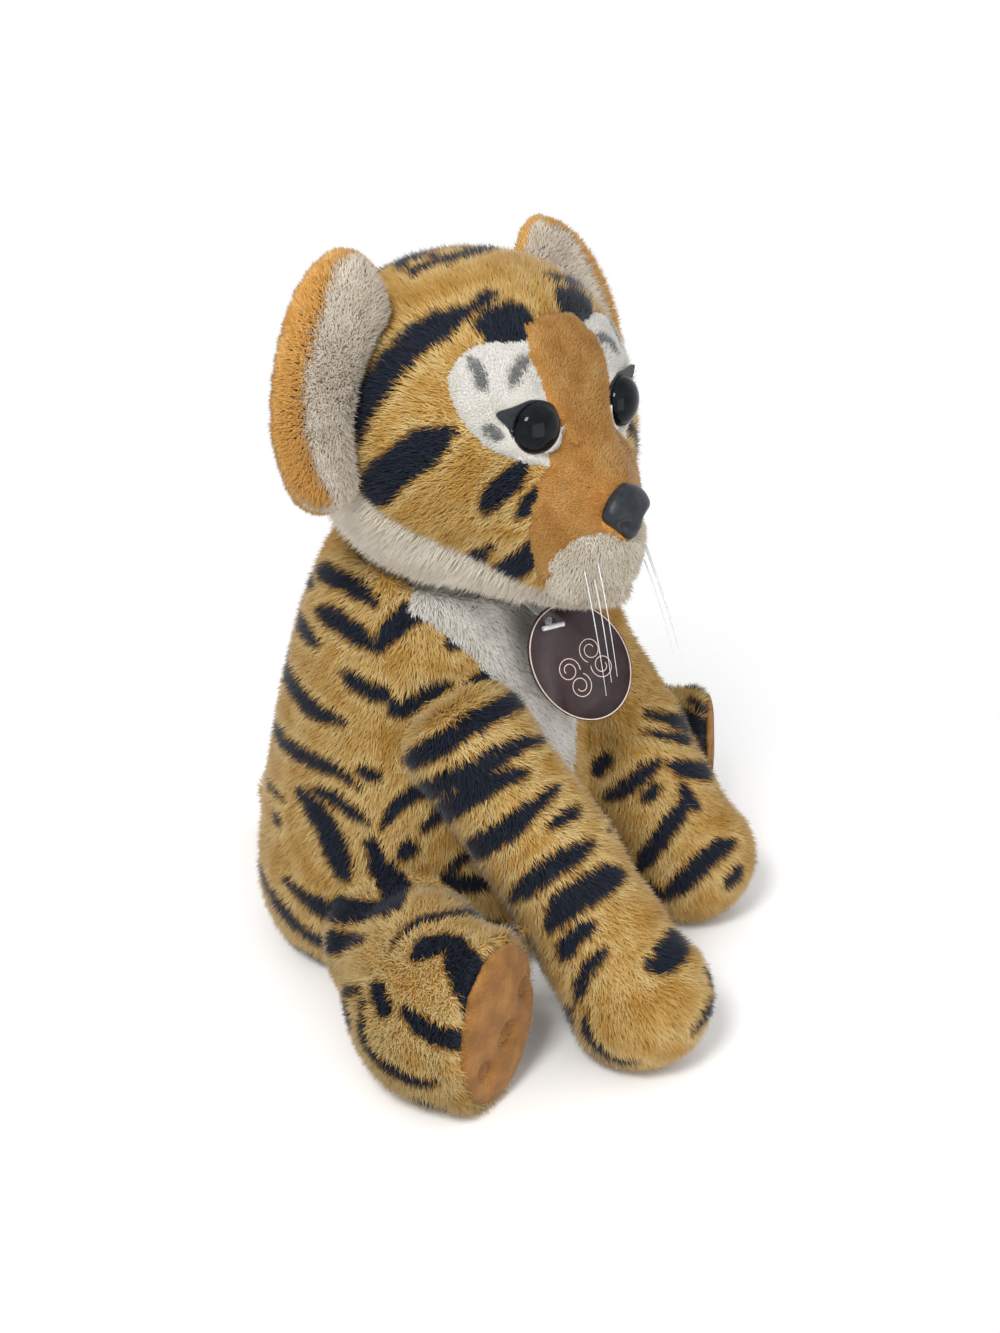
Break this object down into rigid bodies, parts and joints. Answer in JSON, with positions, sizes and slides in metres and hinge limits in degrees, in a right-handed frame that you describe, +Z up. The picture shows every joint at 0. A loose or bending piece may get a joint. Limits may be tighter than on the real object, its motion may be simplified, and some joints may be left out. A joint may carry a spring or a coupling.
{
  "type": "plush tiger toy",
  "caption": "Sitting plush tiger cub with striped golden fur, large cupped ears, safety eyes, a moulded nose, whiskers, suede soles, a curled tail and a hang tag.",
  "frame": {"origin": "centre of the flat seat on which the cub sits", "axes": "+Z up, the cub's chest faces -Y, its right side is -X"},
  "size_m": [0.2085, 0.188, 0.2386],
  "materials": {
    "golden_plush": "long golden pile with black stripes",
    "short_gold_pile": "short orange-gold pile",
    "cream_pile": "soft cream-grey pile",
    "white_pile": "short white pile with grey marks",
    "ruff_pile": "long pale pile",
    "ear_pile": "grey-beige curly pile",
    "suede": "brown brushed suede cloth",
    "stuffing": "white polyester fibre fill",
    "eye_plastic": "polished black safety eye",
    "nose_plastic": "satin grey-black moulding",
    "black_vinyl": "thin black vinyl",
    "white_plastic": "moulded white press-on washer",
    "nylon": "clear white nylon",
    "card": "dark brown coated card"
  },
  "bodies": {
    "torso": {"back_skin": "golden_plush", "flank_skin_R": "golden_plush", "flank_skin_L": "golden_plush", "chest_panel": "cream_pile", "seat_panel": "golden_plush", "body_stuffing": "stuffing", "tag_tie": "nylon"},
    "neck": {"neck_stuffing": "stuffing"},
    "head": {"head_skin": "golden_plush", "bridge_panel": "short_gold_pile", "eye_patch_R": "white_pile", "eye_patch_L": "white_pile", "ruff_R": "ruff_pile", "ruff_L": "ruff_pile", "muzzle_pad_R": "cream_pile", "muzzle_pad_L": "cream_pile", "chin_panel": "cream_pile", "head_stuffing": "stuffing", "eye_R": "eye_plastic", "eye_L": "eye_plastic", "eye_liner_R": "black_vinyl", "eye_liner_L": "black_vinyl", "eye_washer_R": "white_plastic", "eye_washer_L": "white_plastic", "nose": "nose_plastic", "nose_washer": "white_plastic", "whisker_R_1": "nylon", "whisker_R_2": "nylon", "whisker_R_3": "nylon", "whisker_L_1": "nylon", "whisker_L_2": "nylon", "whisker_L_3": "nylon"},
    "ear_R": {"ear_back_R": "short_gold_pile", "ear_lining_R": "ear_pile"},
    "ear_L": {"ear_back_L": "short_gold_pile", "ear_lining_L": "ear_pile"},
    "foreleg_R": {"foreleg_R_skin": "golden_plush", "foreleg_R_stuffing": "stuffing"},
    "foreleg_L": {"foreleg_L_skin": "golden_plush", "foreleg_L_stuffing": "stuffing"},
    "leg_R": {"leg_R_skin": "golden_plush", "leg_R_stuffing": "stuffing", "sole_R": "suede"},
    "leg_L": {"leg_L_skin": "golden_plush", "leg_L_stuffing": "stuffing", "sole_L": "suede"},
    "tail": {"tail_skin": "golden_plush", "tail_stuffing": "stuffing"},
    "tag": {"hang_tag": "card"}
  },
  "joints": [
    {"name": "neck_turn", "type": "hinge", "parent": "torso", "child": "neck", "pos_m": [0, -0.017, 0.1765], "axis": [0, 0, 1], "range_deg": [-20, 20], "stiffness_Nm_per_rad": 3},
    {"name": "neck_nod", "type": "hinge", "parent": "neck", "child": "head", "pos_m": [0, -0.017, 0.1765], "axis": [0.9537, -0.3007, 0], "range_deg": [-8, 4], "stiffness_Nm_per_rad": 6},
    {"name": "ear_fold_R", "type": "hinge", "parent": "head", "child": "ear_R", "pos_m": [-0.04023, 0.00093, 0.1984], "axis": [0.246, -0.1971, 0.949], "range_deg": [-12, 4], "stiffness_Nm_per_rad": 0.2},
    {"name": "ear_fold_L", "type": "hinge", "parent": "head", "child": "ear_L", "pos_m": [0.04573, -0.02618, 0.18449], "axis": [0.1531, 0.0713, -0.9856], "range_deg": [-12, 4], "stiffness_Nm_per_rad": 0.2},
    {"name": "foreleg_swing_R", "type": "hinge", "parent": "torso", "child": "foreleg_R", "pos_m": [-0.037, -0.033, 0.09], "axis": [-1, 0, 0], "range_deg": [0, 30], "stiffness_Nm_per_rad": 2},
    {"name": "foreleg_swing_L", "type": "hinge", "parent": "torso", "child": "foreleg_L", "pos_m": [0.037, -0.033, 0.09], "axis": [-1, 0, 0], "range_deg": [0, 30], "stiffness_Nm_per_rad": 2},
    {"name": "leg_swing_R", "type": "hinge", "parent": "torso", "child": "leg_R", "pos_m": [-0.052, -0.016, 0.025], "axis": [-1, 0, 0], "range_deg": [0, 15], "stiffness_Nm_per_rad": 2},
    {"name": "leg_swing_L", "type": "hinge", "parent": "torso", "child": "leg_L", "pos_m": [0.052, -0.016, 0.025], "axis": [-1, 0, 0], "range_deg": [0, 15], "stiffness_Nm_per_rad": 2},
    {"name": "tail_swing", "type": "hinge", "parent": "torso", "child": "tail", "pos_m": [0.012, 0.047, 0.0135], "axis": [0, 0, 1], "range_deg": [0, 40], "stiffness_Nm_per_rad": 0.5},
    {"name": "tag_swing", "type": "hinge", "parent": "torso", "child": "tag", "pos_m": [-0.01423, -0.04805, 0.1225], "axis": [-0.788, 0.6157, 0], "range_deg": [0, 40]}
  ]
}
